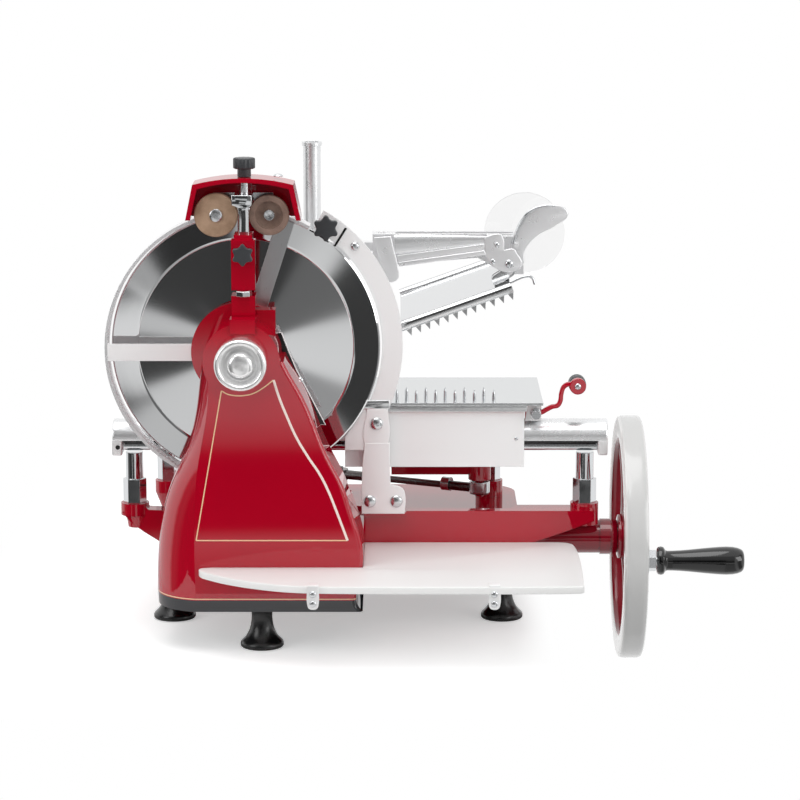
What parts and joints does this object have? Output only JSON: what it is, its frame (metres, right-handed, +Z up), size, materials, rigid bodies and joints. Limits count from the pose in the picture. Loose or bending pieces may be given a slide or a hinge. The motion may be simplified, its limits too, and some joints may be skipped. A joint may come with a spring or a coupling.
{
  "type": "hand crank meat slicer",
  "caption": "Hand cranked slicer: flywheel with grip drives a round knife and a sliding meat carriage with press, feed screw, receiving tray and built-in sharpener.",
  "frame": {"origin": "centre of the underside of the front foot, below the tower", "axes": "+X along the rails towards the flywheel, -Y towards the operator and the receiving tray, +Z up"},
  "size_m": [0.7095, 0.4208, 0.586],
  "materials": {
    "red_enamel": "glossy enamel",
    "white_enamel": "glossy enamel",
    "chrome": "polished",
    "stainless": "fine brushed",
    "knife_steel": "ground and polished",
    "aluminium": "polished",
    "dark_steel": "machined",
    "iron": "as cast",
    "bronze": "machined",
    "white_plastic": "smooth",
    "black_plastic": "glossy",
    "dark_plastic": "moulded",
    "foot_rubber": "glossy moulded",
    "clear_plastic": "clear",
    "tan_stone": "bonded abrasive",
    "brown_stone": "bonded abrasive"
  },
  "bodies": {
    "frame": {"base_casting": "red_enamel", "tower_casting": "red_enamel", "tower_back_cover": "red_enamel", "bearing_housing": "red_enamel", "feet": "foot_rubber", "rail_posts": "chrome", "front_rail": "chrome", "rail_end_caps": "chrome", "rear_rail": "chrome", "receiving_tray": "white_plastic", "tray_supports": "stainless", "tray_clips": "stainless", "ring_guard": "chrome", "guard_spokes": "stainless", "guard_plate": "stainless", "guard_plate_bracket": "stainless", "bracket_screws": "chrome", "wheel_bearing": "red_enamel", "drive_chains": "dark_steel", "sharpener_bracket": "red_enamel"},
    "knife": {"blade": "knife_steel", "blade_hub": "aluminium", "blade_shaft": "dark_steel", "driven_sprocket": "dark_steel", "hub_cap": "chrome"},
    "wheel": {"flywheel": "white_enamel", "flywheel_shaft": "dark_steel", "wheel_sprocket": "dark_steel", "handle_bolt": "chrome"},
    "grip": {"handle_grip": "black_plastic"},
    "layshaft": {"layshaft": "dark_steel"},
    "crank": {"crank_shaft": "dark_steel", "crown_gear": "iron", "crank_arm": "dark_steel"},
    "cross_shaft": {"cross_shaft": "dark_steel", "drive_sprocket": "dark_steel"},
    "carriage": {"carriage_casting": "red_enamel", "carriage_cover": "stainless", "slide_bushes": "bronze"},
    "rear_roller": {"rear_roller": "dark_steel"},
    "connecting_rod": {"connecting_rod": "dark_steel"},
    "table": {"meat_table": "stainless", "table_spikes": "stainless", "press_post": "chrome"},
    "feed_screw": {"feed_screw": "stainless"},
    "feed_lever": {"feed_lever": "red_enamel"},
    "feed_knob": {"feed_knob": "black_plastic"},
    "press_collar": {"press_collar": "aluminium"},
    "press_arm": {"press_arm": "aluminium", "hand_guard_disc": "clear_plastic"},
    "press_plate": {"press_plate": "stainless"},
    "press_lever": {"press_lever": "chrome"},
    "sharpener": {"sharpener_slide": "red_enamel", "stone_carrier": "chrome", "sharpener_hood": "red_enamel"},
    "grinding_stone": {"grinding_stone": "tan_stone"},
    "honing_stone": {"honing_stone": "brown_stone"},
    "top_knob": {"sharpener_top_knob": "dark_plastic"},
    "clamp_knob": {"sharpener_star_knob": "dark_plastic"},
    "guard_knob": {"guard_star_knob": "dark_plastic"}
  },
  "joints": [
    {"name": "wheel_spin", "type": "hinge", "parent": "frame", "child": "wheel", "pos_m": [0.402, 0.137, 0.093], "axis": [1, 0, 0], "continuous": true},
    {"name": "grip_spin", "type": "hinge", "parent": "wheel", "child": "grip", "pos_m": [0.448, 0.017, 0.093], "axis": [1, 0, 0], "continuous": true},
    {"name": "layshaft_spin", "type": "hinge", "parent": "frame", "child": "layshaft", "pos_m": [0.256, 0.187, 0.093], "axis": [1, 0, 0], "continuous": true},
    {"name": "crank_spin", "type": "hinge", "parent": "frame", "child": "crank", "pos_m": [0.028, 0.187, 0.1], "axis": [0, 0, 1], "continuous": true},
    {"name": "cross_shaft_spin", "type": "hinge", "parent": "frame", "child": "cross_shaft", "pos_m": [0.028, 0.1, 0.093], "axis": [0, 1, 0], "continuous": true},
    {"name": "knife_spin", "type": "hinge", "parent": "frame", "child": "knife", "pos_m": [-0.019, 0.077, 0.325], "axis": [0, 1, 0], "continuous": true},
    {"name": "carriage_slide", "type": "slide", "parent": "frame", "child": "carriage", "axis": [1, 0, 0], "range_m": [-0.1225, 0.0534]},
    {"name": "roller_spin", "type": "hinge", "parent": "carriage", "child": "rear_roller", "pos_m": [0.18, 0.241, 0.2173], "axis": [0, 1, 0], "continuous": true},
    {"name": "rod_swing", "type": "hinge", "parent": "carriage", "child": "connecting_rod", "pos_m": [0.245, 0.177, 0.141], "axis": [0, 0, 1], "range_deg": [-6.2, 51]},
    {"name": "table_feed", "type": "slide", "parent": "carriage", "child": "table", "axis": [0, 1, 0], "range_m": [0, 0.1]},
    {"name": "feed_screw_turn", "type": "hinge", "parent": "carriage", "child": "feed_screw", "pos_m": [0.306, 0.1, 0.245], "axis": [0, 1, 0], "range_deg": [0, 7200]},
    {"name": "feed_lever_swing", "type": "hinge", "parent": "carriage", "child": "feed_lever", "pos_m": [0.306, 0.086, 0.245], "axis": [0, 1, 0], "range_deg": [-15, 30]},
    {"name": "feed_knob_spin", "type": "hinge", "parent": "feed_lever", "child": "feed_knob", "pos_m": [0.353, 0.1, 0.276], "axis": [0, 1, 0], "continuous": true},
    {"name": "press_height", "type": "slide", "parent": "table", "child": "press_collar", "axis": [0, 0, 1], "range_m": [-0.05, 0.08]},
    {"name": "press_arm_swing", "type": "hinge", "parent": "press_collar", "child": "press_arm", "pos_m": [0.132, 0.165, 0.415], "axis": [0, 0, 1], "range_deg": [0, 20]},
    {"name": "press_plate_tilt", "type": "hinge", "parent": "press_arm", "child": "press_plate", "pos_m": [0.277, 0.14, 0.4], "axis": [0, 1, 0], "range_deg": [-5, 12]},
    {"name": "press_lever_lift", "type": "hinge", "parent": "press_arm", "child": "press_lever", "pos_m": [0.284, 0.136, 0.431], "axis": [0, 1, 0], "range_deg": [-15, 0]},
    {"name": "sharpener_lift", "type": "slide", "parent": "frame", "child": "sharpener", "axis": [0, 0, 1], "range_m": [0, 0.04]},
    {"name": "grinding_stone_spin", "type": "hinge", "parent": "sharpener", "child": "grinding_stone", "pos_m": [-0.048, 0.03, 0.4775], "axis": [0, 1, 0], "continuous": true},
    {"name": "honing_stone_spin", "type": "hinge", "parent": "sharpener", "child": "honing_stone", "pos_m": [0.01, 0.03, 0.4775], "axis": [0, 1, 0], "continuous": true},
    {"name": "top_knob_turn", "type": "hinge", "parent": "sharpener", "child": "top_knob", "pos_m": [-0.017, 0.034, 0.52], "axis": [0, 0, 1], "continuous": true},
    {"name": "clamp_knob_turn", "type": "hinge", "parent": "sharpener", "child": "clamp_knob", "pos_m": [-0.017, -0.01, 0.44], "axis": [0, 1, 0], "continuous": true},
    {"name": "guard_knob_turn", "type": "hinge", "parent": "frame", "child": "guard_knob", "pos_m": [0.071, 0.075, 0.458], "axis": [0, 1, 0], "continuous": true}
  ],
  "couplings": [
    {"joint": "layshaft_spin", "follows": "wheel_spin", "ratio": 1},
    {"joint": "crank_spin", "follows": "wheel_spin", "ratio": 0.5},
    {"joint": "cross_shaft_spin", "follows": "wheel_spin", "ratio": -1},
    {"joint": "knife_spin", "follows": "wheel_spin", "ratio": -2.5},
    {"joint": "feed_screw_turn", "follows": "table_feed", "rad_per_m": 1256.6}
  ]
}
